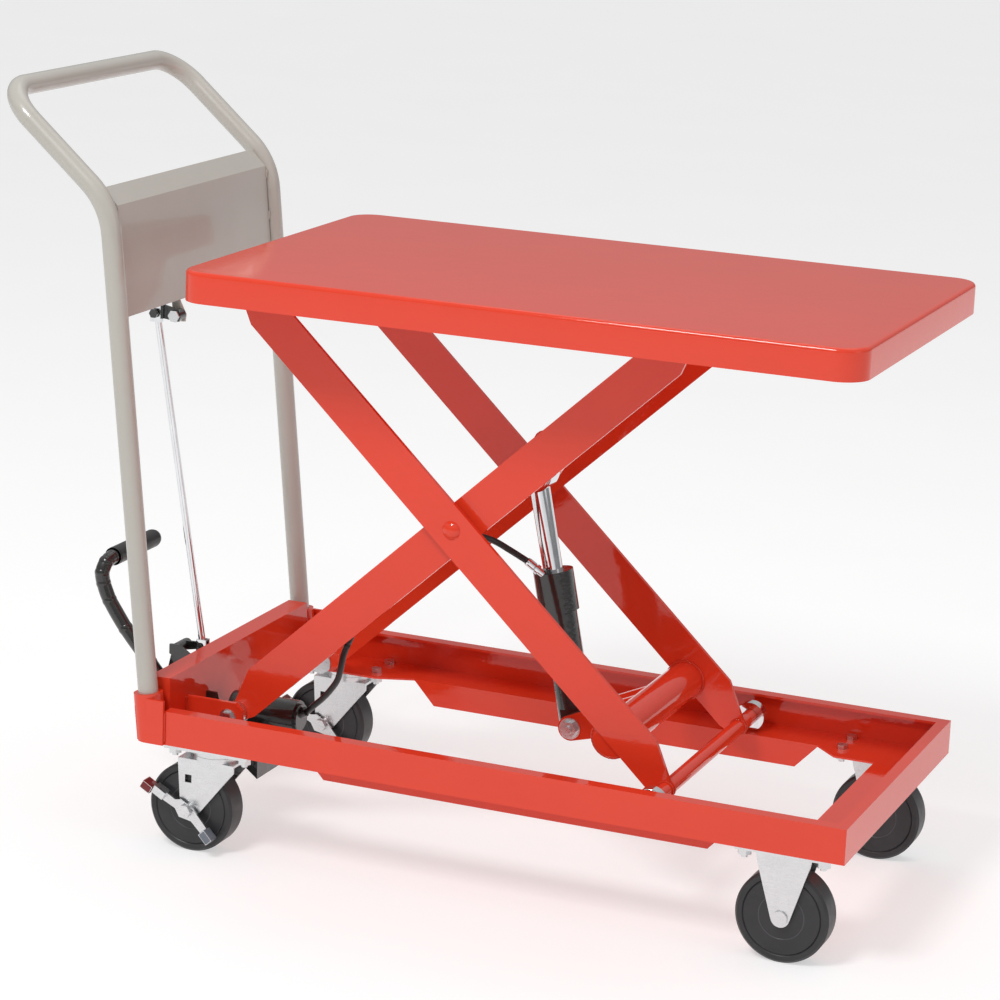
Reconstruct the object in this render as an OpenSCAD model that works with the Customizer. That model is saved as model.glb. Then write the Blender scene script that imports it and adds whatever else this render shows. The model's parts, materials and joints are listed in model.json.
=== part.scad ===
// Hand-pushed hydraulic scissor lift table, shown with the platform raised.
// +X points to the front, away from the push handle; +Z is up; the floor is z = 0.

/* [Platform] */
// Length of the platform
deck_l = 740; // [700:5:760]
// Width of the platform
deck_w = 450; // [440:5:480]
// Height of the folded skirt
deck_h = 33; // [30:1:40]
// Radius of the vertical corners
deck_r = 30; // [15:1:45]
// Sheet thickness of the platform
deck_t = 2.5; // [2:0.5:3]

/* [Scissor] */
// Lift angle of the legs as drawn
lift_deg = 44.09; // [30:0.01:44.09]
// Half the distance between a leg's end pivots
leg_half = 352.3; // [350:0.1:354]
// Half the depth of a leg plate
leg_depth = 22.2; // [18:0.1:23]
// Thickness of a leg plate
leg_t = 5; // [4:0.5:6]
// How far the end pivots sit off the plate's centreline
pivot_off = 6.4; // [5:0.1:8]
// Inner face of the inner legs
inner_y = 104; // [100:1:105]
// Inner face of the outer legs
outer_y = 117; // [115:1:118]

/* [Base frame] */
// Half the width over the side rails
frame_y = 200; // [195:1:205]
// Front end of the frame
frame_front = 494.5; // [490:0.5:500]
// Underside of the rails
rail_z = 122; // [118:1:126]
// Height of the rails
rail_h = 38; // [34:1:44]
// Sheet thickness of the frame
sheet = 3; // [2.5:0.5:4]
// Thickness of the flange that the rollers run on
flange_t = 2; // [2:0.5:3]

/* [Handle] */
// Radius of the handle tube
tube_r = 11; // [10:0.5:12]
// Half the distance between the handle's uprights
handle_y = 188; // [184:1:190]
// Backward lean of the uprights
lean_deg = 5.9; // [4:0.1:7]
// Slope of the upper handle above the horizontal
rise_deg = 40.6; // [38:0.1:44]

/* [Casters] */
// Wheel radius
wheel_r = 50; // [45:1:52]
// Wheel width
wheel_w = 30; // [26:1:32]
// Distance of the casters from the centre plane
caster_y = 170; // [168:1:172]
// Front caster position
front_x = 428; // [424:1:432]
// Rear swivel axis position
swivel_x = -223.5; // [-226:0.5:-220]
// How far a rear wheel trails behind its swivel axis
trail = 24; // [20:1:28]

/* [Ram] */
// Radius of the ram's rod
rod_r = 11; // [10:0.5:12]
// Distance of the upper ram pin from the centre pivot
ram_arm = 65; // [60:1:70]
// Lower ram pin
ram_foot_x = 128.5; // [126:0.5:131]
// Height of the lower ram pin
ram_foot_z = 155; // [152:1:158]

/* [Hidden] */
$fn = 64;
gap = 0.05;
roller_r = 16.2;
top_roller_r = 12.7;
flange_top = rail_z + flange_t;
pivot_z = flange_top + roller_r + 0.2;
pivot_x = -231;
centre_x = pivot_x + leg_half * cos(lift_deg);
centre_z = pivot_z + leg_half * sin(lift_deg);
front_pivot_x = pivot_x + 2 * leg_half * cos(lift_deg);
top_pivot_z = pivot_z + 2 * leg_half * sin(lift_deg);
deck_top = top_pivot_z + top_roller_r + deck_t + 4.15;
deck_x = pivot_x - 24;
leg_end = sqrt(leg_half * leg_half - pivot_off * pivot_off);
leg_tilt = lift_deg - asin(pivot_off / leg_half);
rail_top = rail_z + rail_h;
web_y = frame_y - sheet;
rear_web_x = -282.5;
rear_back_x = -306.5;
rear_top = 188;
ram_top_x = centre_x + ram_arm * cos(lift_deg);
ram_top_z = centre_z + ram_arm * sin(lift_deg);
ram_len = norm([ram_top_x - ram_foot_x, ram_top_z - ram_foot_z]);
ram_tilt = -atan((ram_foot_x - ram_top_x) / (ram_top_z - ram_foot_z));
cross_r = 21;
cross_x = 210.5;
cross_z = 185;
upper_cross_at = 140;
upper_cross_x = centre_x + upper_cross_at * cos(lift_deg) - 9 * sin(lift_deg);
upper_cross_z = centre_z + upper_cross_at * sin(lift_deg) + 9 * cos(lift_deg);
bend_x = -354.5;
bend_z = 704;
bend_r = 80;
corner_r = 45;
rise_len = 170;
bend_turn = 90 - rise_deg - lean_deg;
bend_cut = bend_r * tan(bend_turn / 2);
swivel_wheel_x = swivel_x - trail;
pump_y = -55;
pedal_x = -284;
pedal_z = 98;
arm_y = -54;
release_top = [-359, -70, 568.5];
release_bottom = [-316, -30, 184];
valve_x = -340;
valve_z = 180.4;
valve_end = [-351.7, -34, 135.9];
valve_dir = [0.919, 0, -0.394];

RED = [0.85, 0.2, 0.13];
GREY = [0.72, 0.71, 0.67];
BLACK = [0.12, 0.12, 0.12];
ZINC = [0.85, 0.86, 0.87];
CHROME = [0.8, 0.8, 0.82];

// ---- small helpers ----

// A block from its lowest to its highest corner
module block(a, b) {
  translate(a) cube(b - a);
}

// A plate in the XZ plane, y from y0 to y0 + t
module side_plate(y0, t) {
  translate([0, y0 + t, 0]) rotate([90, 0, 0]) linear_extrude(t) children();
}

// A cylinder along Y
module across(x, z, y0, y1, r) {
  translate([x, y1, z]) rotate([90, 0, 0]) cylinder(r = r, h = y1 - y0);
}

// A round bar between two points
module bar(p, q, r) {
  d = q - p;
  translate(p) rotate([0, acos(d.z / norm(d)), atan2(d.y, d.x)]) cylinder(r = r, h = norm(d));
}

// A smooth-jointed round route through a list of points
module route(points, r, proud = 0.12) {
  for (i = [0 : len(points) - 2]) bar(points[i], points[i + 1], r);
  for (i = [1 : len(points) - 2]) translate(points[i]) sphere(r + proud);
}

// A part and its mirror image on the far side
module both_sides() {
  children();
  mirror([0, 1, 0]) children();
}

// A hexagon head along Y, across flats af
module hex_across(x, z, y0, y1, af) {
  translate([x, y1, z]) rotate([90, 0, 0]) cylinder(r = af / sqrt(3), h = y1 - y0, $fn = 6);
}

// A hexagon along Z
module hex_up(x, y, z0, z1, af) {
  translate([x, y, z0]) cylinder(r = af / sqrt(3), h = z1 - z0, $fn = 6);
}

// A rectangle with round corners
module round_rect(l, w, r) {
  translate([r, 0]) square([l - 2 * r, w]);
  translate([0, r]) square([l, w - 2 * r]);
  for (x = [r, l - r]) for (y = [r, w - r]) translate([x, y]) circle(r);
}

// ---- base frame ----

// One side rail, made for +Y: web, top lip, roller flange with wide caster ends, and skirt
module side_rail() {
  x0 = rear_web_x - 2.5;
  x1 = frame_front - sheet;
  block([x0, web_y, rail_z], [x1, frame_y, rail_top]);
  block([rear_web_x + 9, frame_y - 15, rail_top - sheet], [x1, web_y, rail_top]);
  translate([0, 0, rail_z]) linear_extrude(flange_t) difference() {
    polygon([[rear_web_x, web_y], [rear_web_x, 130], [-174, 130], [-131, 147], [359.5, 147],
             [385.5, 121], [x1, 121], [x1, web_y]]);
    for (x = [swivel_x - 42, swivel_x + 42, front_x - 42, front_x + 42])
      for (y = [caster_y - 18, caster_y + 18]) translate([x, y]) circle(r = 4.2);
  }
  side_plate(147, sheet) polygon([[-130, rail_z], [-105, 95], [334, 95], [359, rail_z]]);
}

module rail_near() {
  color(RED) mirror([0, 1, 0]) side_rail();
}

module rail_far() {
  color(RED) side_rail();
}

// Front member: outer face, top lip and wide bottom flange
module front_crossmember() {
  color(RED) {
    block([frame_front - sheet, -frame_y, rail_z], [frame_front, frame_y, rail_top]);
    block([frame_front - 13, -185, rail_top - sheet], [frame_front - sheet, 185, rail_top]);
    block([frame_front - 63, -121, rail_z], [frame_front - sheet, 121, flange_top]);
  }
}

// Taller rear channel between the handle sockets
module rear_crossmember() {
  color(RED) {
    block([rear_web_x - sheet, -168, rail_z], [rear_web_x, 168, rear_top]);
    block([rear_back_x, -168, rear_top - sheet], [rear_web_x - sheet, 168, rear_top]);
    block([rear_back_x, -168, rail_z], [rear_web_x - sheet, 168, rail_z + sheet]);
    both_sides() block([rear_back_x, 168, rail_z], [rear_web_x, 171, rear_top]);
  }
}

// Centreline of the upright at height z
function upright_x(z) = bend_x + (bend_z - z) * tan(lean_deg);

// Sleeves that hold the handle, wrapped on to the rails' outer faces
module handle_sockets() {
  color(RED) both_sides() {
    difference() {
      union() {
        bar([upright_x(rail_z), handle_y, rail_z], [upright_x(175), handle_y, 175], 16);
        block([upright_x(rail_z), frame_y + 0.1, rail_z], [-273, 204, 172]);
      }
      bar([upright_x(118), handle_y, 118], [upright_x(182), handle_y, 182], tube_r + gap);
      block([-330, frame_y - sheet - 0.2, rail_z - 1], [-250, frame_y + 0.1, rail_top + 0.2]);
      block([-330, 160, 100], [-250, 210, rail_z]);
      block([rear_web_x - 0.2, 160, rail_z - 1], [-250, frame_y, flange_top + 0.2]);
      block([rear_web_x + 8.8, 160, rail_top - sheet - 0.2], [-250, frame_y, rail_top + 0.2]);
    }
  }
}

// Plates on the rear member that carry the inner legs
module pivot_brackets() {
  color(RED) both_sides() difference() {
    side_plate(127, 5) polygon([[rear_web_x, flange_top], [rear_web_x, 158], [-222, 158],
                                [-214, 150], [-214, 134], [-226, flange_top]]);
    across(pivot_x, pivot_z, 120, 140, 8);
  }
}

// Pins, spacers and heads of the base pivots
module pivot_pins() {
  color(ZINC) both_sides() {
    across(pivot_x, pivot_z, 101.5, 132.3, 8);
    across(pivot_x, pivot_z, 101.5, inner_y - 0.3, 13);
    across(pivot_x, pivot_z, inner_y + leg_t + 0.3, 127, 12);
    across(pivot_x, pivot_z, 132, 133.4, 10);
    hex_across(pivot_x, pivot_z, 133.4, 139, 14);
  }
}

// ---- push handle ----

// Places children in the handle's upper slope: +X outward in Y, +Y up the slope
module slope_frame() {
  translate([bend_x, 0, bend_z]) multmatrix([[0, -cos(rise_deg), sin(rise_deg), 0],
                                             [1, 0, 0, 0],
                                             [0, sin(rise_deg), cos(rise_deg), 0],
                                             [0, 0, 0, 1]]) children();
}

// One side of the bent tube; the straights run 1 mm into the slightly fuller bends
module handle_side() {
  up = [-sin(lean_deg), 0, cos(lean_deg)];
  foot = [upright_x(rail_z + 2), handle_y, rail_z + 2];
  elbow = [bend_x, handle_y, bend_z] - bend_cut * up;
  bar(foot, elbow + up, tube_r);
  translate(elbow) rotate([0, -lean_deg, 0]) translate([-bend_r, 0, 0]) rotate([90, 0, 0])
    rotate_extrude(angle = bend_turn, $fn = 96) translate([bend_r, 0]) circle(tube_r + 0.1);
  slope_frame() {
    translate([handle_y, bend_cut - 1, 0]) rotate([-90, 0, 0])
      cylinder(r = tube_r, h = rise_len - bend_cut - corner_r + 2);
    translate([handle_y - corner_r, rise_len - corner_r, 0])
      rotate_extrude(angle = 90, $fn = 96) translate([corner_r, 0]) circle(tube_r + 0.1);
  }
}

module handle_tube() {
  color(GREY) {
    both_sides() handle_side();
    slope_frame() translate([corner_r - handle_y - 1, rise_len, 0]) rotate([0, 90, 0])
      cylinder(r = tube_r, h = 2 * (handle_y - corner_r + 1));
  }
}

// Height along the upright, measured down from the bend, turned to a point
function on_upright(down, ahead) = [upright_x(bend_z - down) + ahead, bend_z - down];

// Sheet between the uprights, folded back at the top and returned at both sides
module handle_panel() {
  top = on_upright(3, 2);
  low = on_upright(122, 2);
  tip = top + 25 * [-cos(rise_deg + 4), sin(rise_deg + 4)];
  color(GREY) {
    side_plate(-174, 348) polygon([low, top, tip, tip - [1.1, 1.3], top - [1.8, 0.5],
                                   low - [1.8, 0]]);
    both_sides() side_plate(172.5, 1.5) polygon([low, top, tip, tip - [5, 7],
                                                 top - [12, 3], low - [12, -2]]);
    both_sides() for (d = [12, 60, 108]) {
      p = on_upright(d, 0);
      block([p.x - 3, 174, p.y - 5], [p.x + 3, handle_y - tube_r - 0.05, p.y + 5]);
    }
    difference() {
      side_plate(-53, 3) polygon([on_upright(95, 0.2), on_upright(121.5, 0.2), [-333, 566],
                                  [-334, 558], [-345, 558], [-349, 571], [-352, 592]]);
      across(-339, 566, -56, -46, 4 + gap);
    }
  }
}

// ---- release linkage ----

// Plate behind the frame with the valve crank's bolt
module valve_bracket() {
  color(BLACK) {
    difference() {
      side_plate(-52, 3) polygon([[rear_back_x, 168], [rear_back_x, 148], [-336, 171],
                                  [-347, 175], [-347, 186], [-335, 187]]);
      across(valve_x, valve_z, -55, -45, 4);
    }
    across(valve_x, valve_z, -52, -24.5, 4);
    across(valve_x, valve_z, -24.5, -21.5, 6);
  }
}

// Bolt that carries the hand lever under the panel
module lever_bolt() {
  color(ZINC) {
    across(-339, 566, -67, -49, 4);
    hex_across(-339, 566, -70, -67, 12);
  }
}

// Hand lever: short arm to the rod, long arm up behind the panel with a grip
module release_lever() {
  color(BLACK) difference() {
    union() {
      side_plate(-66.5, 3) polygon([[-334, 560], [-334, 573], [-352, 577], [-362, 640],
                                    [-374, 640], [-367, 580], [-367, 563]]);
      across(-339, 566, -66.5, -53.5, 7);
      block([-375, -72, 640], [-361, -58, 700]);
    }
    across(-339, 566, -80, -45, 4 + gap);
  }
  color(ZINC) across(release_top.x, release_top.z, -77, -62, 2.5);
  color(ZINC) hex_across(release_top.x, release_top.z, -79.5, -76, 9);
}

// Chrome rod with a clevis block at each end
module release_rod() {
  d = (release_bottom - release_top) / norm(release_bottom - release_top);
  color(CHROME) {
    difference() {
      translate(release_top) cube([13, 9, 20], center = true);
      across(release_top.x, release_top.z, -90, -50, 3.6);
      block([-370, -67.6, 550], [-350, -62, 590]);
    }
    bar(release_top + 9 * d, release_bottom - 6 * d, 4);
    difference() {
      translate(release_bottom) cube([12, 10, 14], center = true);
      across(release_bottom.x, release_bottom.z, -40, -20, 3.6);
      block([-330, -33, 170], [-300, -27, 200]);
    }
  }
}

// Bell crank that the rod turns and that pulls the valve
module valve_arm() {
  color(BLACK) {
    difference() {
      union() {
        across(valve_x, valve_z, -48.5, -25, 6.5);
        side_plate(-31.5, 3) polygon([[-341, 174.5], [-314, 180], [-312, 187], [-341, 186]]);
        side_plate(-41, 3) polygon([[-348, 181], [-332, 179], [-345, 134], [-350, 130],
                                    [-357, 132], [-358, 138]]);
      }
      across(valve_x, valve_z, -60, -10, 4 + gap);
    }
    across(release_bottom.x, release_bottom.z, -36.5, -23.5, 2.5);
    across(valve_end.x, valve_end.z, -41, -30, 2.5);
  }
}

// Wire from the bell crank to the pump's release valve
module valve_link() {
  color(ZINC) {
    difference() {
      across(valve_end.x, valve_end.z, -36.5, -31.5, 7);
      across(valve_end.x, valve_end.z, -40, -28, 4.2);
    }
    bar(valve_end + 6 * valve_dir, valve_end + 95 * valve_dir, 2.5);
  }
}

// ---- pump and pedal ----

// Cast block with its bracket, bores for plunger and valve, and the pedal's pin
module pump_block() {
  color(BLACK) {
    difference() {
      union() {
        side_plate(-82, 57) polygon([[-218.5, 56], [-218.5, 118], [-268, 118], [-268, 95]]);
        side_plate(-85, 3.2) polygon([[rear_web_x, 150], [-270, 150], [-262, 118],
                                      [-222, 118], [-222, 72], [-262, 92], [-276, 86],
                                      [-294, 88], [-296, 108], [rear_web_x, 118]]);
        across(pedal_x, pedal_z, -85, -40, 6);
        across(pedal_x, pedal_z, -40, -37.5, 9);
      }
      translate([-300, pump_y, 127]) rotate([0, 90, 0]) cylinder(r = 18.6, h = 100);
      block([-275, -64, 50], [-240, -46, 92]);
      translate([-257, pump_y, 60]) cylinder(r = 6 + gap, h = 60);
      bar(valve_end + 60 * valve_dir, valve_end + 100 * valve_dir, 2.5 + gap);
    }
  }
}

// Oil tank over the block, with a filler plug and the hose union
module pump_reservoir() {
  color(BLACK) {
    translate([-262, pump_y, 127]) rotate([0, 90, 0]) cylinder(r = 18.5, h = 80);
    translate([-182.1, pump_y, 127]) rotate([0, 90, 0]) cylinder(r = 15, h = 4);
    translate([-246, pump_y, 143]) cylinder(r = 6, h = 6);
  }
  color(ZINC) translate([-180, pump_y, 131]) rotate([0, 60, 0]) cylinder(r = 5.5, h = 8);
}

// Plunger under the block that the pedal's heel lifts
module pump_plunger() {
  color(CHROME) translate([-257, pump_y, 82]) cylinder(r = 6, h = 15);
}

// Bent foot lever with its hub and heel roller
module pedal_arm() {
  sleeve_x = -429;
  sleeve_z = 273;
  color(BLACK) {
    difference() {
      union() {
        across(pedal_x, pedal_z, -64, -42, 11);
        side_plate(-60, 10) polygon([[-292, 92], [-284, 109], [-268, 84], [-258, 72],
                                     [-268, 70]]);
      }
      across(pedal_x, pedal_z, -70, -35, 6 + gap);
      across(-262, 76, -62, -48, 3);
    }
    across(-262, 76, -62, -48, 5);
    route([[pedal_x - 8, arm_y, pedal_z + 3], [-318, arm_y, 109], [-346, arm_y, 134],
           [-370, arm_y, 161], [-402, arm_y, 197], [-423, arm_y, 227], [-431, arm_y, 246],
           [-433, arm_y, 258], [-431, arm_y + 5, 269], [sleeve_x, arm_y + 16, sleeve_z],
           [sleeve_x, 54, sleeve_z]], 8, 0.6);
  }
}

// Rubber sleeve on the foot bar
module pedal_sleeve() {
  color(BLACK) difference() {
    union() {
      across(-429, 273, -36, 56, 10.5);
      translate([-429, 56, 273]) sphere(10.5);
    }
    across(-429, 273, -40, 54, 8);
  }
}

// Torsion spring round the pedal's pin
module pedal_spring() {
  color(ZINC) {
    for (i = [0 : 4]) translate([pedal_x, -79.7 + 3.2 * i, pedal_z]) rotate([90, 0, 0])
      rotate_extrude() translate([8.6, 0]) circle(1.4);
    bar([pedal_x + 8.6, -79.7, pedal_z], [pedal_x + 8.6, -79.7, pedal_z + 16], 1.2);
    bar([pedal_x - 8.6, -66.9, pedal_z], [pedal_x - 8.6, -66.9, pedal_z + 14], 1.2);
  }
}

// ---- hose ----

module hose_lower() {
  color(BLACK) route([[-171, -55, 135.5], [-160, -62, 146], [-147, -68, 158], [-134, -76, 172],
                      [-122, -84, 188], [-115, -91, 206], [-110, -96, 222], [-104, -98.5, 236]], 3.5);
}

module hose_leg() {
  color(BLACK) route([[-104, -98.5, 236], [-98, -98.5, 249], [-86, -98.5, 264],
                      [-24, -98.5, 324], [14, -98.5, 360]], 3.5);
  color(ZINC) for (p = [[-62, 287], [-10, 337.5]])
    translate([p.x, -98.5, p.y]) rotate([0, 46, 0]) translate([-5.5, -5.3, -5]) cube([11, 10, 10]);
}

module hose_upper() {
  color(BLACK) route([[14, -98.5, 360], [17, -92, 366], [20, -76, 369], [25, -56, 365],
                      [37, -38, 357], [54, -30, 346.5], [72, -24, 335.5]], 3.5);
  color(CHROME) bar([71, -24.3, 336.1], [80, -21, 328.6], 4.4);
}

// ---- casters ----

// A wheel along Y with chamfered tread and dished sides
module wheel(x, y) {
  w = wheel_w / 2;
  translate([x, y, wheel_r]) rotate([90, 0, 0]) rotate_extrude($fn = 96)
    polygon([[6 + gap, -w], [40.5, -w], [41.5, -w + 1], [42.5, -w], [wheel_r - 2.5, -w],
             [wheel_r, -w + 2.5], [wheel_r, w - 2.5], [wheel_r - 2.5, w], [42.5, w],
             [41.5, w - 1], [40.5, w], [6 + gap, w]]);
}

// Plate, outline of a fixed fork's cheek and its axle, for the front
module fixed_fork() {
  cheek = wheel_w / 2 + 1.5;
  difference() {
    block([front_x - 50, caster_y - 28, rail_z - 3], [front_x + 50, caster_y + 28, rail_z]);
    for (x = [-42, 42]) for (y = [-18, 18])
      translate([front_x + x, caster_y + y, rail_z - 5]) cylinder(r = 4.2, h = 10);
  }
  for (y = [caster_y - cheek - 3, caster_y + cheek]) difference() {
    side_plate(y, 3) union() {
      polygon([[front_x - 30, rail_z - 3], [front_x + 30, rail_z - 3], [front_x + 28, 108],
               [front_x + 10, wheel_r - 2], [front_x - 10, wheel_r - 2], [front_x - 28, 108]]);
      translate([front_x, wheel_r]) circle(10);
    }
    across(front_x, wheel_r, y - 1, y + 4, 6);
  }
}

module front_forks() {
  color(ZINC) both_sides() fixed_fork();
}

// Rear swivel plates with their bearing races
module swivel_plates() {
  color(ZINC) both_sides() {
    difference() {
      block([swivel_x - 50, caster_y - 30, rail_z - 3], [swivel_x + 50, caster_y + 30, rail_z]);
      for (x = [-42, 42]) for (y = [-18, 18])
        translate([swivel_x + x, caster_y + y, rail_z - 5]) cylinder(r = 4.2, h = 10);
    }
    translate([swivel_x, caster_y, rail_z - 9]) cylinder(r = 25, h = 6);
    translate([swivel_x, caster_y, 100.5]) cylinder(r = 6, h = 18);
    translate([swivel_x, caster_y, 100.2]) cylinder(r = 9, h = 2.4);
  }
}

// Bolts and nuts of all four plates, and the front axles
module caster_bolts() {
  color(ZINC) both_sides() {
    for (cx = [swivel_x, front_x]) for (x = [-42, 42]) for (y = [-18, 18]) {
      hex_up(cx + x, caster_y + y, flange_top, flange_top + 4.5, 11);
      translate([cx + x, caster_y + y, rail_z - 13]) cylinder(r = 3.4, h = 17);
      hex_up(cx + x, caster_y + y, rail_z - 9.8, rail_z - 3, 13);
    }
    across(front_x, wheel_r, caster_y - 21.5, caster_y + 21.5, 6);
    for (s = [-1, 1]) across(front_x, wheel_r, caster_y + s * 20.6 - 1.1,
                             caster_y + s * 20.6 + 1.1, 8);
  }
}

// Swivel fork, crown and two cheeks, drawn for the caster at y
module swivel_fork(y) {
  cheek = wheel_w / 2 + 1.5;
  wx = swivel_wheel_x;
  difference() {
    block([swivel_x - 38, y - cheek - 3, 104], [swivel_x + 29, y + cheek + 3, 107]);
    translate([swivel_x, y, 100]) cylinder(r = 6 + gap, h = 10);
  }
  difference() {
    translate([swivel_x, y, 107]) cylinder(r = 25, h = 5.7);
    translate([swivel_x, y, 106]) cylinder(r = 6 + gap, h = 10);
  }
  for (c = [y - cheek - 3, y + cheek]) difference() {
    side_plate(c, 3) union() {
      polygon([[swivel_x - 38, 104], [swivel_x + 29, 104], [swivel_x + 29, 98],
               [wx + 12, wheel_r - 4], [wx - 10, wheel_r - 3]]);
      translate([wx, wheel_r]) circle(11);
    }
    across(wx, wheel_r, c - 1, c + 4, 6);
    side_plate(c - 1, 5) translate([swivel_x - 29, 80]) square([8, 9]);
  }
}

module swivel_fork_near() {
  color(ZINC) swivel_fork(-caster_y);
}

module swivel_fork_far() {
  color(ZINC) swivel_fork(caster_y);
}

// Axle bolt of a swivel caster, long enough for the brake lever
module swivel_axle(y) {
  across(swivel_wheel_x, wheel_r, y - 28, y + 23, 6);
  hex_across(swivel_wheel_x, wheel_r, y - 31, y - 25.5, 13);
  hex_across(swivel_wheel_x, wheel_r, y + 19.5, y + 24, 13);
}

module swivel_axle_near() {
  color(ZINC) swivel_axle(-caster_y);
}

module swivel_axle_far() {
  color(ZINC) swivel_axle(caster_y);
}

// Rocking brake lever on the axle: press pad at the rear, release pad at the front
module brake_lever(y) {
  wx = swivel_wheel_x;
  color(ZINC) difference() {
    side_plate(y - 24.8, 2.5) polygon([[wx - 42, 76], [wx - 14, 60], [wx - 8, 61], [wx + 9, 51],
                                       [wx + 30, 27], [wx + 22, 22], [wx + 6, 38],
                                       [wx - 9, 41], [wx - 14, 50], [wx - 47, 66]]);
    across(wx, wheel_r, y - 30, y - 20, 6 + gap);
  }
  color([0.7, 0.16, 0.1]) translate([wx - 46, y - 25, 71]) rotate([0, 30, 0])
    cube([13, 15, 9], center = true);
  color(BLACK) translate([wx - 31, y - 26, 67]) rotate([0, 30, 0]) cube([15, 12, 9], center = true);
  color(BLACK) translate([wx + 27, y - 26, 25]) rotate([0, 47, 0]) cube([14, 13, 9], center = true);
}

module brake_lever_near() {
  brake_lever(-caster_y);
}

module brake_lever_far() {
  brake_lever(caster_y);
}

module wheel_rear_near() {
  color(BLACK) wheel(swivel_wheel_x, -caster_y);
}

module wheel_rear_far() {
  color(BLACK) wheel(swivel_wheel_x, caster_y);
}

module wheel_front_near() {
  color(BLACK) wheel(front_x, -caster_y);
}

module wheel_front_far() {
  color(BLACK) wheel(front_x, caster_y);
}

// ---- scissor legs ----

// Outline of a leg, u along the plate and v across it, with its three holes' radii
module leg_outline(rear_r, middle_r, front_r) {
  w = leg_depth;
  h = 350;
  half = [[-h + 42, w], [-h - 7, 0], [-h - 12, -8], [-h - 4, -17], [-h + 12, -w]];
  difference() {
    polygon(concat(half, [for (p = half) -p]));
    circle(middle_r);
    translate([-leg_end, -pivot_off]) circle(rear_r);
    translate([leg_end, pivot_off]) circle(front_r);
  }
}

module inner_plate() {
  side_plate(inner_y, leg_t) translate([centre_x, centre_z]) rotate(leg_tilt)
    leg_outline(8 + gap, 8 + gap, 10);
}

// The outer leg is the inner one's mirror image
module outer_plate() {
  side_plate(outer_y, leg_t) translate([centre_x, centre_z]) rotate(-leg_tilt)
    mirror([1, 0]) leg_outline(8.5, 8, 8 + gap);
}

module inner_leg_near() {
  color(RED) mirror([0, 1, 0]) inner_plate();
}

module inner_leg_far() {
  color(RED) inner_plate();
}

module outer_leg_near() {
  color(RED) mirror([0, 1, 0]) outer_plate();
}

module outer_leg_far() {
  color(RED) outer_plate();
}

// Ears from a cross tube to a ram pin: plates at y0 with a round end and a bore
module ears(tube, tube_r0, pin, end_r, bore_r, y0, t) {
  d = (tube - pin) / norm(tube - pin);
  n = [-d.y, d.x];
  both_sides() side_plate(y0, t) difference() {
    union() {
      polygon([pin + end_r * n, tube + tube_r0 * n, tube - tube_r0 * n, pin - end_r * n]);
      translate(pin) circle(end_r);
    }
    translate(pin) circle(bore_r);
    translate(tube) circle(tube_r0);
  }
}

module inner_crossbar() {
  color(RED) {
    across(upper_cross_x, upper_cross_z, -inner_y, inner_y, 11);
    ears([upper_cross_x, upper_cross_z], 11, [ram_top_x, ram_top_z], 19, 7, 13, 6);
  }
}

module outer_crosstube() {
  color(RED) {
    across(cross_x, cross_z, -outer_y, outer_y, cross_r);
    ears([cross_x, cross_z], cross_r, [ram_foot_x, ram_foot_z], 14, 8, 16, 6);
  }
}

module ram_upper_pin() {
  color(ZINC) {
    across(ram_top_x, ram_top_z, -21, 21, 7);
    both_sides() across(ram_top_x, ram_top_z, 19, 23, 10);
  }
}

module ram_lower_pin() {
  color(ZINC) {
    across(ram_foot_x, ram_foot_z, -27, 27, 8);
    both_sides() across(ram_foot_x, ram_foot_z, 22, 23.5, 12);
    both_sides() hex_across(ram_foot_x, ram_foot_z, 23.5, 30, 17);
    both_sides() across(ram_foot_x, ram_foot_z, 29.9, 32.5, 5);
  }
}

// Stub axles at the front of the inner legs
module top_axles() {
  color(RED) both_sides() across(front_pivot_x, top_pivot_z, 101, 133.5, 10);
  color(ZINC) both_sides() {
    across(front_pivot_x, top_pivot_z, 133.5, 147, 6);
    across(front_pivot_x, top_pivot_z, 146.3, 148.2, 9);
  }
}

// Round axle through the outer legs' feet, with a journal for each roller
module bottom_axle() {
  color(RED) across(front_pivot_x, pivot_z, -158.5, 158.5, 8.5);
  color(RED) both_sides() {
    across(front_pivot_x, pivot_z, 158.4, 172, 7.5);
    across(front_pivot_x, pivot_z, 171.4, 174, 10);
  }
}

// Domed pins where the legs cross
module centre_pivots() {
  color(RED) both_sides() {
    across(centre_x, centre_z, 101.4, 122.1, 8);
    across(centre_x, centre_z, 101.4, inner_y - 0.3, 12);
    across(centre_x, centre_z, inner_y + leg_t + 0.3, outer_y, 13);
    intersection() {
      translate([centre_x, 114, centre_z]) sphere(r = 13);
      across(centre_x, centre_z, 121.9, 130, 10);
    }
  }
}

// ---- platform ----

module deck() {
  color(RED) translate([deck_x, -deck_w / 2, deck_top - deck_h]) difference() {
    linear_extrude(deck_h) round_rect(deck_l, deck_w, deck_r);
    translate([deck_t, deck_t, -1]) linear_extrude(deck_h - deck_t + 1)
      round_rect(deck_l - 2 * deck_t, deck_w - 2 * deck_t, deck_r - deck_t);
  }
}

// Tracks under the front of the platform for the top rollers
module deck_guides() {
  z = deck_top - deck_t;
  x1 = deck_x + deck_l - deck_t - 2;
  color(RED) both_sides() {
    block([230, 128, z - 4], [x1, 152.5, z]);
    block([230, 149.5, z - 26], [x1, 152.5, z - 4]);
    block([230, 128, z - 6.5], [x1, 131, z - 4]);
    block([226, 128, z - 26], [230, 152.5, z]);
  }
}

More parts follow.
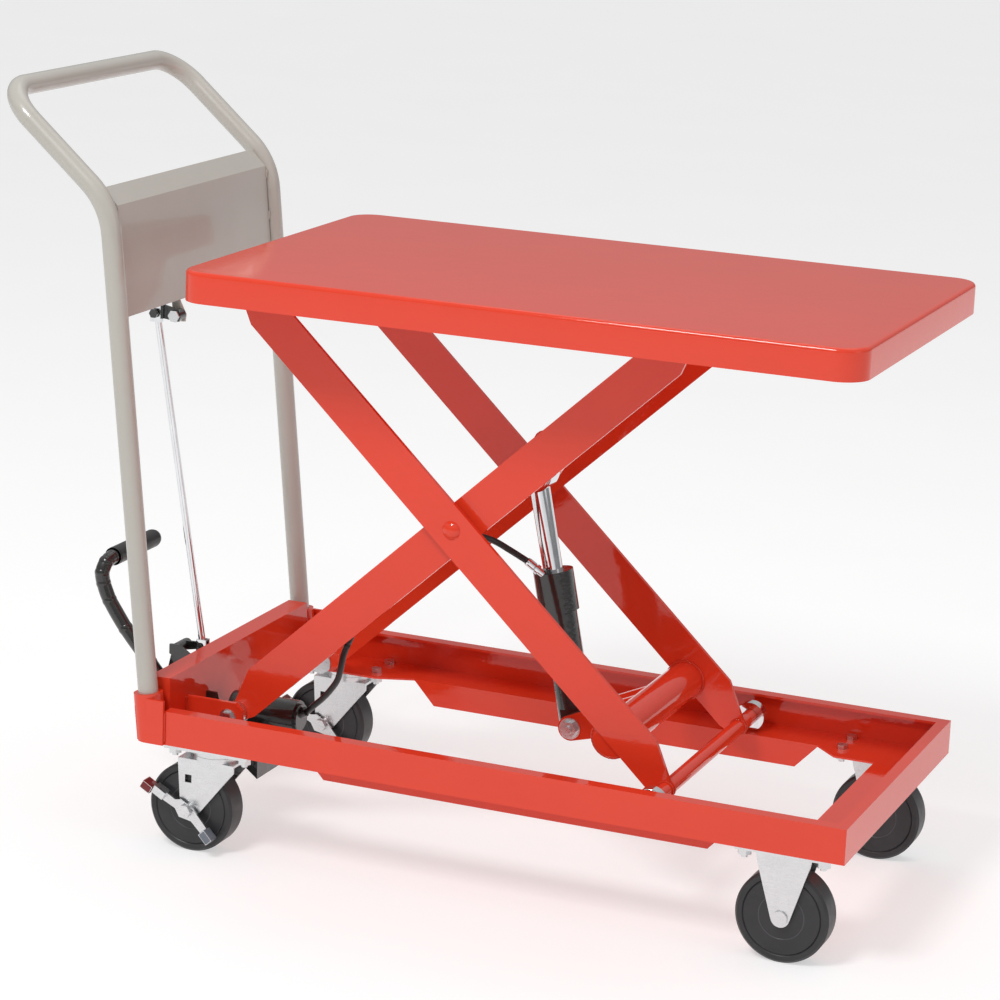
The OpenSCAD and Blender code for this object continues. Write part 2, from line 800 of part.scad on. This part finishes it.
// Lugs under the rear of the platform for the outer legs
module deck_lugs() {
  z = deck_top - deck_t;
  color(RED) both_sides() difference() {
    side_plate(127, 5) union() {
      polygon([[pivot_x - 19, z], [pivot_x + 30, z], [pivot_x + 14, top_pivot_z],
               [pivot_x - 14, top_pivot_z], [pivot_x - 19, top_pivot_z + 6]]);
      translate([pivot_x, top_pivot_z]) circle(14);
    }
    across(pivot_x, top_pivot_z, 120, 140, 8);
  }
}

module deck_pins() {
  color(ZINC) both_sides() {
    across(pivot_x, top_pivot_z, 114.2, 132.3, 8);
    across(pivot_x, top_pivot_z, 114.2, outer_y - 0.3, 12);
    across(pivot_x, top_pivot_z, outer_y + leg_t + 0.3, 127, 12);
    hex_across(pivot_x, top_pivot_z, 132, 138, 17);
  }
}

// ---- rollers ----

module roller(x, z, y0, r, bore) {
  difference() {
    across(x, z, y0, y0 + 12, r);
    across(x, z, y0 - 1, y0 + 13, bore + gap);
  }
}

module roller_bottom_far() {
  color(CHROME) roller(front_pivot_x, pivot_z, 159, roller_r, 7.5);
}

module roller_bottom_near() {
  color(CHROME) mirror([0, 1, 0]) roller(front_pivot_x, pivot_z, 159, roller_r, 7.5);
}

module roller_top_far() {
  color(CHROME) roller(front_pivot_x, top_pivot_z, 134, top_roller_r, 6);
}

module roller_top_near() {
  color(CHROME) mirror([0, 1, 0]) roller(front_pivot_x, top_pivot_z, 134, top_roller_r, 6);
}

// ---- ram ----

// Places children on the ram's axis, +Z from the lower pin to the upper one
module ram_frame() {
  translate([ram_foot_x, 0, ram_foot_z]) rotate([0, ram_tilt, 0]) children();
}

// Barrel with its foot eye, wider head, oil port and gland
module ram_barrel() {
  color(BLACK) ram_frame() difference() {
    union() {
      across(0, 0, -15, 15, 15);
      cylinder(r = 19, h = 130);
      translate([0, 0, 127]) cylinder(r = 22, h = 45);
      translate([-3, -14, 160]) cylinder(r = 6.2, h = 16);
    }
    across(0, 0, -30, 30, 8 + gap);
    translate([-30, 15, -30]) cube([60, 20, 50]);
    translate([-30, -35, -30]) cube([60, 20, 50]);
    translate([0, 0, 24]) cylinder(r = 14.5, h = 136);
    translate([0, 0, 100]) cylinder(r = rod_r + gap, h = 90);
  }
}

// Rod with piston below and a loose eye above
module ram_rod() {
  color(CHROME) ram_frame() difference() {
    union() {
      translate([0, 0, ram_len - 180]) cylinder(r = 14.4, h = 12);
      translate([0, 0, ram_len - 175]) cylinder(r = rod_r, h = 157);
      across(0, ram_len, -12, 12, 21.5);
    }
    across(0, ram_len, -20, 20, 16);
  }
}

rail_near();
rail_far();
front_crossmember();
rear_crossmember();
handle_sockets();
pivot_brackets();
pivot_pins();
handle_tube();
handle_panel();
valve_bracket();
lever_bolt();
pump_block();
pump_reservoir();
front_forks();
swivel_plates();
caster_bolts();
pedal_spring();
hose_lower();
pump_plunger();
pedal_arm();
pedal_sleeve();
release_lever();
release_rod();
valve_arm();
valve_link();
swivel_fork_near();
swivel_fork_far();
swivel_axle_near();
swivel_axle_far();
brake_lever_near();
brake_lever_far();
wheel_rear_near();
wheel_rear_far();
wheel_front_near();
wheel_front_far();
inner_leg_near();
inner_leg_far();
inner_crossbar();
ram_upper_pin();
top_axles();
hose_leg();
outer_leg_near();
outer_leg_far();
outer_crosstube();
ram_lower_pin();
bottom_axle();
centre_pivots();
hose_upper();
deck();
deck_guides();
deck_lugs();
deck_pins();
roller_bottom_near();
roller_bottom_far();
roller_top_near();
roller_top_far();
ram_barrel();
ram_rod();
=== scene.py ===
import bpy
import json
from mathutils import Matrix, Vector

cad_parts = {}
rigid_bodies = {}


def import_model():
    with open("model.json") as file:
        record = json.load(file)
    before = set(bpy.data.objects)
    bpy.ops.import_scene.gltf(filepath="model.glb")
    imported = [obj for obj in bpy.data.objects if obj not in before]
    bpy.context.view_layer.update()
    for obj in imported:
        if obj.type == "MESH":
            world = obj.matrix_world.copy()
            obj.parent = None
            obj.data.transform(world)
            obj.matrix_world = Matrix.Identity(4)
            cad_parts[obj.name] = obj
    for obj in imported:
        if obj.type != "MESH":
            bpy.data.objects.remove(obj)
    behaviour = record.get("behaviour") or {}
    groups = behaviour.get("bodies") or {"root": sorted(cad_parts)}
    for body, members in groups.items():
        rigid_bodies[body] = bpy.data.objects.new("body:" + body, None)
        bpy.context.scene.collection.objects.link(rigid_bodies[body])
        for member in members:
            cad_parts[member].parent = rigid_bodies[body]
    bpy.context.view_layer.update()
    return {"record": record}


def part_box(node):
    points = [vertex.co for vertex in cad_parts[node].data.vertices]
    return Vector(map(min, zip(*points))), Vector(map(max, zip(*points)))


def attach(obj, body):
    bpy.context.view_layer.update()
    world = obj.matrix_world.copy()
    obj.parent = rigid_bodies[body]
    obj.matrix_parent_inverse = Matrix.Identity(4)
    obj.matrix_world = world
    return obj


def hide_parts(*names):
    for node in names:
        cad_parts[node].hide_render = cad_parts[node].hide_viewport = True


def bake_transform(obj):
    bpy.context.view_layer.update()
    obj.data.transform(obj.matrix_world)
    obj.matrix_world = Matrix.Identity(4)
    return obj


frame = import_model()

import json
import math
import bpy
from mathutils import Matrix, Vector

V = Vector
scene = bpy.context.scene

# ---------------------------------------------------------------- camera

AZ, EL, ROLL = math.radians(21.99), math.radians(14.26), math.radians(2.37)
back = V((math.sin(AZ) * math.cos(EL), -math.cos(AZ) * math.cos(EL), math.sin(EL)))
side = V((math.cos(AZ), math.sin(AZ), 0))
up = back.cross(side)
cam_x = side * math.cos(ROLL) + up * math.sin(ROLL)
cam_y = up * math.cos(ROLL) - side * math.sin(ROLL)
cam = bpy.data.objects.new("camera", bpy.data.cameras.new("camera"))
scene.collection.objects.link(cam)
CAM_AT = (1.31254, -3.18401, 1.26538)
cam.matrix_world = Matrix.Translation(CAM_AT) @ Matrix((cam_x, cam_y, back)).transposed().to_4x4()
cam.data.sensor_width = 36
cam.data.lens = 117.5
cam.data.clip_end = 100
scene.camera = cam

# ---------------------------------------------------------------- helpers


def link(name, mesh, body, material, smooth=False):
    """A new piece that moves with a body."""
    for p in mesh.polygons:
        p.use_smooth = smooth
    o = bpy.data.objects.new(name, mesh)
    scene.collection.objects.link(o)
    mesh.materials.append(material)
    if body:
        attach(o, body)
    return o


def frame_at(axis, hint=V((0, 0, 1))):
    """Two unit vectors across an axis."""
    w = V(axis).normalized()
    if abs(w.dot(hint)) > 0.95:
        hint = V((1, 0, 0))
    u = w.cross(hint).normalized()
    return u, w.cross(u).normalized(), w


def smooth_path(points, step=0.004):
    """A rounded route through the points (Catmull-Rom)."""
    p = [V(q) for q in points]
    p = [p[0] * 2 - p[1]] + p + [p[-1] * 2 - p[-2]]
    out = []
    for i in range(1, len(p) - 2):
        n = max(2, int((p[i + 1] - p[i]).length / step))
        for k in range(n):
            t = k / n
            out.append(0.5 * ((2 * p[i]) + (p[i + 1] - p[i - 1]) * t
                              + (2 * p[i - 1] - 5 * p[i] + 4 * p[i + 1] - p[i + 2]) * t * t
                              + (3 * p[i] - p[i - 1] - 3 * p[i + 1] + p[i + 2]) * t ** 3))
    out.append(p[-2])
    return out


def tube_mesh(path, radius, sides=24, cap=True):
    """A round tube along a path; radius is a number or a function of the share of the length."""
    verts, faces = [], []
    u = None
    for i, q in enumerate(path):
        a, b = path[max(0, i - 1)], path[min(len(path) - 1, i + 1)]
        w = (b - a).normalized()
        if u is None:
            u = frame_at(w)[0]
        u = (u - w * u.dot(w)).normalized()
        v = w.cross(u)
        r = radius(i / (len(path) - 1)) if callable(radius) else radius
        for k in range(sides):
            t = 2 * math.pi * k / sides
            verts.append(q + (u * math.cos(t) + v * math.sin(t)) * r)
    for i in range(len(path) - 1):
        for k in range(sides):
            a, b = i * sides + k, i * sides + (k + 1) % sides
            faces.append((a, b, b + sides, a + sides))
    if cap:
        faces.append(tuple(reversed(range(sides))))
        faces.append(tuple(range((len(path) - 1) * sides, len(path) * sides)))
    m = bpy.data.meshes.new("tube")
    m.from_pydata(verts, [], faces)
    return m


def turned_mesh(profile, origin, axis, sides=48):
    """A body of revolution: profile is (distance along the axis, radius) pairs."""
    u, v, w = frame_at(axis)
    o = V(origin)
    path = [(o + w * h, r) for h, r in profile]
    verts, faces = [], []
    for q, r in path:
        for k in range(sides):
            t = 2 * math.pi * k / sides
            verts.append(q + (u * math.cos(t) + v * math.sin(t)) * max(r, 1e-5))
    for i in range(len(path) - 1):
        for k in range(sides):
            a, b = i * sides + k, i * sides + (k + 1) % sides
            faces.append((a, b, b + sides, a + sides))
    m = bpy.data.meshes.new("turned")
    m.from_pydata(verts, [], faces)
    return m


def wobble(i, seed=0.0):
    """A smooth repeatable ripple between -1 and 1."""
    return 0.5 * math.sin(2.1 * i + seed) + 0.5 * math.sin(3.7 * i + 1.3 * seed)


SCALE_PITCH = 0.0042  # between the scales of a weld bead


def bead(name, points, r, body, material, closed=False):
    """A weld bead with stacked ripples along a line of points."""
    path = [V(q) for q in points]
    length = sum((path[i + 1] - path[i]).length for i in range(len(path) - 1))
    n = max(8, int(length / 0.0011))
    fine, lengths = [], [0]
    for i in range(len(path) - 1):
        lengths.append(lengths[-1] + (path[i + 1] - path[i]).length)
    for k in range(n + 1):
        s = length * k / n
        i = max(j for j in range(len(path) - 1) if lengths[j] <= s + 1e-9)
        fine.append(path[i].lerp(path[i + 1], (s - lengths[i]) / max(1e-9, lengths[i + 1] - lengths[i])))

    def swell(t):
        scales = abs(math.sin(t * length / SCALE_PITCH * math.pi))
        return r * (0.86 + 0.16 * scales + 0.05 * wobble(t * 60, length))

    m = tube_mesh(fine, swell, 10, not closed)
    return link(name, m, body, material, True)


def ring(name, centre, axis, radius, r, body, material, start=0, turn=360):
    u, v, w = frame_at(axis)
    n = 72
    pts = [V(centre) + (u * math.cos(t) + v * math.sin(t)) * radius
           for t in (math.radians(start + turn * k / n) for k in range(n + 1))]
    return bead(name, pts, r, body, material, closed=turn == 360)


# ---------------------------------------------------------------- materials


class Nodes:
    """A short way to write a node material."""

    def __init__(self, name):
        self.m = bpy.data.materials.new(name)
        self.m.use_nodes = True
        self.t = self.m.node_tree
        self.b = self.t.nodes["Principled BSDF"]
        self.co = self.t.nodes.new("ShaderNodeTexCoord").outputs["Object"]

    def new(self, kind, **props):
        n = self.t.nodes.new(kind)
        for k, v in props.items():
            setattr(n, k, v)
        return n

    def wire(self, a, b):
        self.t.links.new(a, b)

    def noise(self, scale, detail=3, rough=0.5, stretch=None):
        n = self.new("ShaderNodeTexNoise")
        n.inputs["Scale"].default_value = scale
        n.inputs["Detail"].default_value = detail
        n.inputs["Roughness"].default_value = rough
        if stretch:
            s = self.new("ShaderNodeMapping")
            s.inputs["Scale"].default_value = stretch
            self.wire(self.co, s.inputs["Vector"])
            self.wire(s.outputs["Vector"], n.inputs["Vector"])
        else:
            self.wire(self.co, n.inputs["Vector"])
        return n.outputs["Fac"]

    def ramp(self, fac, stops):
        r = self.new("ShaderNodeValToRGB")
        e = r.color_ramp.elements
        while len(e) < len(stops):
            e.new(0.5)
        for el, (pos, col) in zip(e, stops):
            el.position = pos
            el.color = (*col, 1) if len(col) == 3 else col
        self.wire(fac, r.inputs["Fac"])
        return r.outputs["Color"]

    def mix(self, fac, a, b, blend="MIX"):
        x = self.new("ShaderNodeMix", data_type="RGBA", blend_type=blend)
        for sock, val in ((x.inputs[0], fac), (x.inputs[6], a), (x.inputs[7], b)):
            if isinstance(val, bpy.types.NodeSocket):
                self.wire(val, sock)
            elif isinstance(val, (int, float)):
                sock.default_value = val
            else:
                sock.default_value = (*val, 1)
        return x.outputs[2]

    def bump(self, *layers):
        normal = None
        for height, strength, distance in layers:
            b = self.new("ShaderNodeBump")
            b.inputs["Strength"].default_value = strength
            b.inputs["Distance"].default_value = distance
            self.wire(height, b.inputs["Height"])
            if normal:
                self.wire(normal, b.inputs["Normal"])
            normal = b.outputs["Normal"]
        self.wire(normal, self.b.inputs["Normal"])
        return normal

    def set(self, **values):
        for k, v in values.items():
            s = self.b.inputs[k.replace("_", " ")]
            if isinstance(v, bpy.types.NodeSocket):
                self.wire(v, s)
            else:
                plain_colour = isinstance(v, tuple) and len(v) == 3 and s.type == "RGBA"
                s.default_value = (*v, 1) if plain_colour else v


def grey(v):
    return (v, v, v)


def shade(c, k):
    return tuple(min(1, x * k) for x in c)


def enamel(name, colour, rough=0.2, coat=1.0, peel=0.12, spec=0.5, specks=0.12):
    """Stoved gloss enamel: slight colour drift, pin specks, orange peel and cloudy gloss."""
    n = Nodes(name)
    col = n.ramp(n.noise(14, 4), [(0.25, shade(colour, 0.975)), (0.75, shade(colour, 1.02))])
    pins = n.ramp(n.noise(900, 2, 0.6), [(0.68, grey(0)), (0.75, grey(specks))])
    col = n.mix(pins, col, shade(colour, 0.7))
    n.set(Base_Color=col, Specular_IOR_Level=spec, Coat_Weight=coat, Coat_Roughness=0.05,
          Roughness=n.ramp(n.noise(30, 5), [(0.3, grey(rough * 0.85)), (0.7, grey(rough * 1.2))]))
    normal = n.bump((n.noise(260, 2), peel, 0.0006), (n.noise(38, 2), peel * 0.7, 0.002))
    n.wire(normal, n.b.inputs["Coat Normal"])
    return n.m


def metal(name, colour, rough, stretch=(1, 1, 1), scale=220, depth=0.1, metallic=1.0):
    """Bare or plated metal with fine directional marks."""
    n = Nodes(name)
    marks = n.noise(scale, 5, 0.6, stretch)
    cloud = n.noise(45, 4)
    dull = n.ramp(cloud, [(0.35, grey(0)), (0.75, grey(0.5))])
    brushed = n.ramp(marks, [(0.3, shade(colour, 0.86)), (0.7, colour)])
    n.set(Metallic=metallic, Base_Color=n.mix(dull, brushed, shade(colour, 0.8)),
          Roughness=n.ramp(marks, [(0.25, grey(rough * 0.75)), (0.8, grey(rough * 1.35))]))
    n.bump((marks, depth, 0.0004))
    return n.m


def moulded(name, colour, rough, grain=500, depth=0.12, scuff=0.0):
    """Rubber or moulded plastic with a fine grain and light scuffs."""
    n = Nodes(name)
    col = n.ramp(n.noise(25, 5), [(0.3, shade(colour, 0.8)), (0.75, shade(colour, 1.25))])
    if scuff:
        marks = n.noise(40, 6, 0.75, (1, 4, 1))
        col = n.mix(n.ramp(marks, [(0.62, grey(0)), (0.75, grey(scuff))]), col, grey(0.3))
    n.set(Base_Color=col,
          Roughness=n.ramp(n.noise(80, 4), [(0.3, grey(rough * 0.85)), (0.7, grey(rough * 1.15))]))
    n.bump((n.noise(grain, 3, 0.6), depth, 0.0005))
    return n.m


RED = (0.74, 0.047, 0.017)
red = enamel("red_enamel", RED, 0.3, 1.0, 0.10, 0.0)
red_under = enamel("red_enamel_weld", shade(RED, 0.85), 0.35, 0.7, 0.3, 0.0)
warm_grey = enamel("grey_enamel", (0.46, 0.44, 0.395), 0.35, 0.6, 0.10)
black = enamel("black_enamel", (0.012, 0.012, 0.011), 0.25, 0.7, 0.2)
zinc = metal("zinc_plate", (0.78, 0.79, 0.80), 0.3, (1, 1, 3), 160, 0.08)
chrome = metal("chrome_steel", (0.83, 0.84, 0.86), 0.07, (1, 1, 0.08), 300, 0.02)
tyre = moulded("wheel_polyurethane", (0.022, 0.022, 0.024), 0.42, 420, 0.1, 0.12)
rubber = moulded("hose_rubber", (0.012, 0.012, 0.012), 0.35, 700, 0.2)
pad_red = moulded("brake_pad_red", (0.16, 0.012, 0.012), 0.4, 500, 0.12)
pad_grey = moulded("brake_pad_grey", (0.13, 0.15, 0.18), 0.5, 500, 0.12)
hub = moulded("wheel_hub", (0.05, 0.05, 0.055), 0.35, 300, 0.08)

by_slot = {"red_enamel": red, "grey_enamel": warm_grey, "black_enamel": black, "zinc_plate": zinc,
           "chrome_steel": chrome, "wheel_polyurethane": tyre, "hose_rubber": rubber}


def cad(node):
    """A CAD node's object."""
    named = bpy.data.objects.get(node)
    return named or next(x for x in bpy.data.objects if x.name.split(".")[0] == node)


for part in frame["record"]["subparts"]:
    o = cad(part["node"])
    o.data.materials.clear()
    o.data.materials.append(by_slot[part["material_slot"]])


def soften(nodes, width, segments=2):
    """A small round on a CAD node's edges."""
    for name in nodes:
        b = cad(name).modifiers.new("edge_round", "BEVEL")
        b.width = width
        b.segments = segments
        b.limit_method = "ANGLE"
        b.angle_limit = math.radians(40)
        b.harden_normals = False
        b.use_clamp_overlap = True


soften(["rail_near", "rail_far", "front_crossmember", "rear_crossmember"], 0.0011)
soften(["inner_leg_near", "inner_leg_far", "outer_leg_near", "outer_leg_far"], 0.0009)
soften(["pivot_brackets", "deck_lugs", "deck_guides", "handle_sockets", "handle_panel"], 0.0006)
soften(["front_forks", "swivel_plates", "swivel_fork_near", "swivel_fork_far"], 0.0006)
soften(["caster_bolts", "pivot_pins", "deck_pins", "ram_lower_pin",
        "swivel_axle_near", "swivel_axle_far"], 0.0004)
soften(["pump_block", "pump_reservoir", "valve_bracket", "release_lever", "valve_arm"], 0.0008)
soften(["brake_lever_near", "brake_lever_far"], 0.0008)
soften(["ram_barrel"], 0.0012, 3)
soften(["bottom_axle", "top_axles", "ram_rod", "ram_upper_pin", "release_rod"], 0.0005)

# ---------------------------------------------------------------- platform

lo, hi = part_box("deck")


def deck_skin():
    """The folded platform sheet, with a rolled top edge and an open underside."""
    t, r, roll = 0.0025, 0.030, 0.0045

    def corner(radius, turns):
        return [(roll - radius * math.sin(a), -roll + radius * math.cos(a)) for a in turns]

    arc = corner(roll, [math.pi / 2 * k / 8 for k in range(8, -1, -1)])
    outer = [(0, lo.z - hi.z)] + [(x, z) for x, z in arc]
    ri = roll - t
    inner_arc = corner(ri, [math.pi / 2 * k / 6 for k in range(7)])
    loops = [(t, lo.z - hi.z)] + outer
    under = [(t, lo.z - hi.z)] + list(reversed(inner_arc))
    sx, sy = (hi.x - lo.x) / 2, (hi.y - lo.y) / 2
    mid = V(((hi.x + lo.x) / 2, (hi.y + lo.y) / 2, hi.z))
    n = 14

    def outline(inset):
        pts = []
        for cx, cy, a0 in ((1, 1, 0), (-1, 1, 90), (-1, -1, 180), (1, -1, 270)):
            for k in range(n + 1):
                a = math.radians(a0 + 90 * k / n)
                rr = r - inset
                pts.append((cx * (sx - r) + rr * math.cos(a), cy * (sy - r) + rr * math.sin(a)))
        return pts

    verts, faces = [], []

    def strip(profile, flip):
        first = None
        for inset, z in profile:
            start = len(verts)
            ring_pts = outline(inset)
            verts.extend(mid + V((x, y, z)) for x, y in ring_pts)
            c = len(ring_pts)
            if first is not None:
                for k in range(c):
                    q = (first + k, first + (k + 1) % c, start + (k + 1) % c, start + k)
                    faces.append(tuple(reversed(q)) if flip else q)
            first = start
        return first, c

    top, c = strip(loops, False)
    faces.append(tuple(range(top, top + c)))
    base, c = strip(under, True)
    faces.append(tuple(reversed(range(base, base + c))))
    m = bpy.data.meshes.new("deck_skin")
    m.from_pydata(verts, [], faces)
    return m


deck = link("deck_skin", deck_skin(), "platform", red, True)
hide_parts("deck")
soft = deck.modifiers.new("shading", "WEIGHTED_NORMAL")
soft.keep_sharp = False

# ---------------------------------------------------------------- welds

# Metres, in the row's frame: (x, z) of the two cross tubes and of the lower axle
legs_in, legs_out = "inner_legs", "outer_legs"
cross = (0.2105, 0.185)
upper = (0.1163, 0.4894)
axle = (0.27508, 0.1404)
top_z = 0.63065
ALONG_Y = (0, 1, 0)
SIDES = ((-1, "near"), (1, "far"))


def collar(name, at, y, radius, r, body):
    """A weld ring round a tube along Y, where it meets a leg plate."""
    ring(name, (at[0], y, at[1]), ALONG_Y, radius, r, body, red_under)


for s, tag in SIDES:
    collar("weld_cross_" + tag, cross, s * 0.1162, 0.0215, 0.0016, legs_out)
    collar("weld_upper_" + tag, upper, s * 0.1032, 0.0115, 0.0013, legs_in)
    collar("weld_axle_" + tag, axle, s * 0.1165, 0.0090, 0.0012, legs_out)
    collar("weld_axle_out_" + tag, axle, s * 0.1224, 0.0090, 0.0012, legs_out)
    collar("weld_top_axle_" + tag, (axle[0], top_z), s * 0.1094, 0.0105, 0.0013, legs_in)
    for y in (0.1268, 0.1322):
        run = [(-0.2822, s * y, 0.127), (-0.2822, s * y, 0.157)]
        bead("weld_bracket_%s_%d" % (tag, y > 0.13), run, 0.0016, "base", red_under)
    run = [(-0.2729, s * 0.2008, 0.126), (-0.2729, s * 0.2008, 0.158)]
    bead("weld_socket_" + tag, run, 0.0014, "base", red_under)
    for x, z in ((-0.2465, 0.6472), (-0.208, 0.6472)):
        run = [(x, s * 0.1267, z), (x + 0.012, s * 0.1267, z)]
        bead("weld_lug_%s_%d" % (tag, x > -0.22), run, 0.0014, "platform", red_under)

# ---------------------------------------------------------------- hose

lower_route = [(-.1735, -.0534, .1331), (-.171, -.055, .1355), (-.160, -.062, .146),
               (-.147, -.068, .158), (-.134, -.076, .172), (-.122, -.084, .188),
               (-.115, -.091, .206), (-.110, -.096, .222), (-.104, -.0985, .236)]
leg_route = [(-.104, -.0985, .236), (-.098, -.0985, .249), (-.086, -.0985, .264), (-.024, -.0985, .324),
             (.014, -.0985, .360)]
upper_route = [(.014, -.0985, .360), (.017, -.092, .366), (.020, -.076, .369), (.025, -.056, .365),
               (.037, -.038, .357), (.054, -.030, .3465), (.072, -.024, .3355)]
HOSE_R = 0.0035
h1 = link("hose_low", tube_mesh(smooth_path(lower_route), HOSE_R), None, rubber, True)
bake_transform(h1)
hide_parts("hose_lower")
h2 = link("hose_mid", tube_mesh(smooth_path(leg_route), HOSE_R), "inner_legs", rubber, True)
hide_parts("hose_leg")
for k, (x, z) in enumerate(((-.062, .287), (-.010, .3375))):
    band = [(-.005, .0044), (-.005, .0048), (.005, .0048), (.005, .0044)]
    c = turned_mesh(band, (x, -.0985, z), (.72, 0, .694))
    link("hose_clip_%d" % k, c, "inner_legs", zinc, True)
h3 = link("hose_high", tube_mesh(smooth_path(upper_route), HOSE_R), None, rubber, True)
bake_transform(h3)
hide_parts("hose_upper")
fit = V((.071, -.0243, .3361))
to = (V((.088, -.018, .322)) - fit)
crimp = [(0, .0036), (0, .0045), (.002, .0049), (.010, .0049), (.011, .0041), (.012, .0041),
         (.012, .0055), (.016, .0055), (.016, .004), (to.length, .004)]
link("hose_ferrule", turned_mesh(crimp, fit, to, 24), "ram_body", chrome, False)

# ---------------------------------------------------------------- pedal

pedal_route = [(-.292, -.054, .101), (-.318, -.054, .109), (-.346, -.054, .134), (-.370, -.054, .161),
               (-.402, -.054, .197), (-.423, -.054, .227), (-.431, -.054, .246), (-.433, -.054, .258),
               (-.431, -.049, .269), (-.429, -.038, .273), (-.429, .0, .273), (-.429, .054, .273)]
link("pedal_bar", tube_mesh(smooth_path(pedal_route), 0.0081, 28), "pedal", black, True)
grooves = [(i * .004 - .030, .0106 - (.0007 if i % 2 else 0)) for i in range(22)]
sleeve = ([(-.036, .0078), (-.036, .0100), (-.034, .0106)] + grooves
          + [(.056, .0106), (.061, .0095), (.0645, .006), (.0662, .0001)])
link("pedal_sleeve_mould", turned_mesh(sleeve, (-.429, 0, .273), ALONG_Y),
     "pedal", rubber, True)

# ---------------------------------------------------------------- wheels and rollers


WHEEL_R = 0.05
WHEEL_FACE = 0.0150   # from a wheel's middle to its flat face
TRACK = 0.170         # from the centre plane to the casters
FRONT_X, REAR_X = 0.428, -0.2475
DRAWN_R = 0.018       # the roller radius that the two roller profiles are written for


def wheel_detail(tag, x, y, body):
    """A thin hub ring on both faces of a wheel."""
    rim = [(-.0002, .0250), (.0003, .0247), (.0003, .0238), (-.0002, .0235)]
    for s in (-1, 1):
        g = V((x, y + s * WHEEL_FACE, WHEEL_R))
        link("wheel_hub_%s_%d" % (tag, s > 0), turned_mesh(rim, g, (0, s, 0), 72),
             body, hub, True)


def roller_detail(tag, s, x, y, z, r, b):
    """Bearing race and seal on a roller's outer face."""
    o = V((x, s * y, z))
    k = r / DRAWN_R
    race = [(0, .0178 * k), (.0006, .0174 * k), (.0006, .0158 * k), (-.0003, .0154 * k),
            (-.0003, .0118 * k), (.0006, .0114 * k), (.0006, .0092 * k)]
    seal = [(.0001, .0154 * k), (.0003, .015 * k), (.0003, .0122 * k), (.0001, .0118 * k)]
    link(b + "race_" + tag, turned_mesh(race, o, (0, s, 0), 64), b + tag, chrome, True)
    link(b + "seal_" + tag, turned_mesh(seal, o, (0, s, 0), 64), b + tag, rubber, True)


for s, tag in SIDES:
    wheel_detail("front_" + tag, FRONT_X, s * TRACK, "front_wheel_" + tag)
    wheel_detail("rear_" + tag, REAR_X, s * TRACK, "rear_wheel_" + tag)
    roller_detail(tag, s, axle[0], 0.171, axle[1], 0.0162, "bottom_roller_")
    roller_detail(tag, s, axle[0], 0.146, top_z, 0.0127, "top_roller_")

# ---------------------------------------------------------------- brake pads


def pad(name, at, tilt, size, body, material):
    """A moulded pad over the end of a brake lever."""
    turn = Matrix.Translation(at) @ Matrix.Rotation(math.radians(tilt), 4, "Y")
    ends = (-1, 1)
    corners = [turn @ V((x * size[0] / 2, y * size[1] / 2, z * size[2] / 2))
               for x in ends for y in ends for z in ends]
    m = bpy.data.meshes.new(name)
    m.from_pydata(corners, [], [(0, 1, 3, 2), (4, 6, 7, 5), (0, 4, 5, 1),
                                (2, 3, 7, 6), (0, 2, 6, 4), (1, 5, 7, 3)])
    o = link(name, m, body, material)
    b = o.modifiers.new("edge_round", "BEVEL")
    b.width, b.segments = 0.002, 3


for s, tag in SIDES:
    y = s * TRACK
    body = "brake_" + tag
    pad("brake_tip_" + tag, (-0.2935, y - 0.025, 0.071), 30, (0.0138, 0.0158, 0.0098), body, pad_red)
    pad("brake_toe_" + tag, (-0.2205, y - 0.026, 0.025), 47, (0.0148, 0.0138, 0.0098), body, pad_grey)


# ---------------------------------------------------------------- floor and light


def area(name, at, look, size, power, colour=(1, 1, 1)):
    l = bpy.data.lights.new(name, "AREA")
    l.shape = "RECTANGLE"
    l.size, l.size_y = size
    l.energy = power
    l.color = colour
    o = bpy.data.objects.new(name, l)
    scene.collection.objects.link(o)
    o.location = at
    o.rotation_euler = (V(look) - V(at)).to_track_quat("-Z", "Y").to_euler()
    return o


floor_mesh = bpy.data.meshes.new("floor")
floor_mesh.from_pydata([(-30, -30, 0), (30, -30, 0), (30, 30, 0), (-30, 30, 0)], [], [(0, 1, 2, 3)])
floor = bpy.data.objects.new("floor", floor_mesh)
scene.collection.objects.link(floor)
paper = Nodes("floor_paper")
paper.set(Base_Color=paper.ramp(paper.noise(3, 4), [(0.2, grey(0.54)), (0.8, grey(0.56))]),
          Roughness=0.9, Specular_IOR_Level=0.1,
          Emission_Color=(1, 1, 1), Emission_Strength=0.50)
floor.data.materials.append(paper.m)

world = bpy.data.worlds.new("studio")
world.use_nodes = True
bg = world.node_tree.nodes["Background"]
sky = world.node_tree.nodes.new("ShaderNodeTexCoord")
split = world.node_tree.nodes.new("ShaderNodeSeparateXYZ")
fade = world.node_tree.nodes.new("ShaderNodeValToRGB")
fade.color_ramp.elements[0].color = (0.38, 0.38, 0.39, 1)
fade.color_ramp.elements[1].color = (1, 1, 1, 1)
fade.color_ramp.elements[1].position = 0.55
world.node_tree.links.new(sky.outputs["Generated"], split.inputs["Vector"])
world.node_tree.links.new(split.outputs["Z"], fade.inputs["Fac"])
world.node_tree.links.new(fade.outputs["Color"], bg.inputs["Color"])
bg.inputs["Strength"].default_value = 0.62
scene.world = world
scene.view_settings.view_transform = "Standard"
scene.view_settings.look = "None"

area("key", (-0.5, -2.3, 3.1), (0.05, 0, 0.35), (0.9, 0.9), 58)
area("top", (0.2, 0.8, 3.0), (0.1, 0, 0.5), (2.6, 1.6), 12)
area("right", (3.0, -0.6, 1.4), (0.2, 0, 0.4), (1.2, 1.8), 5)
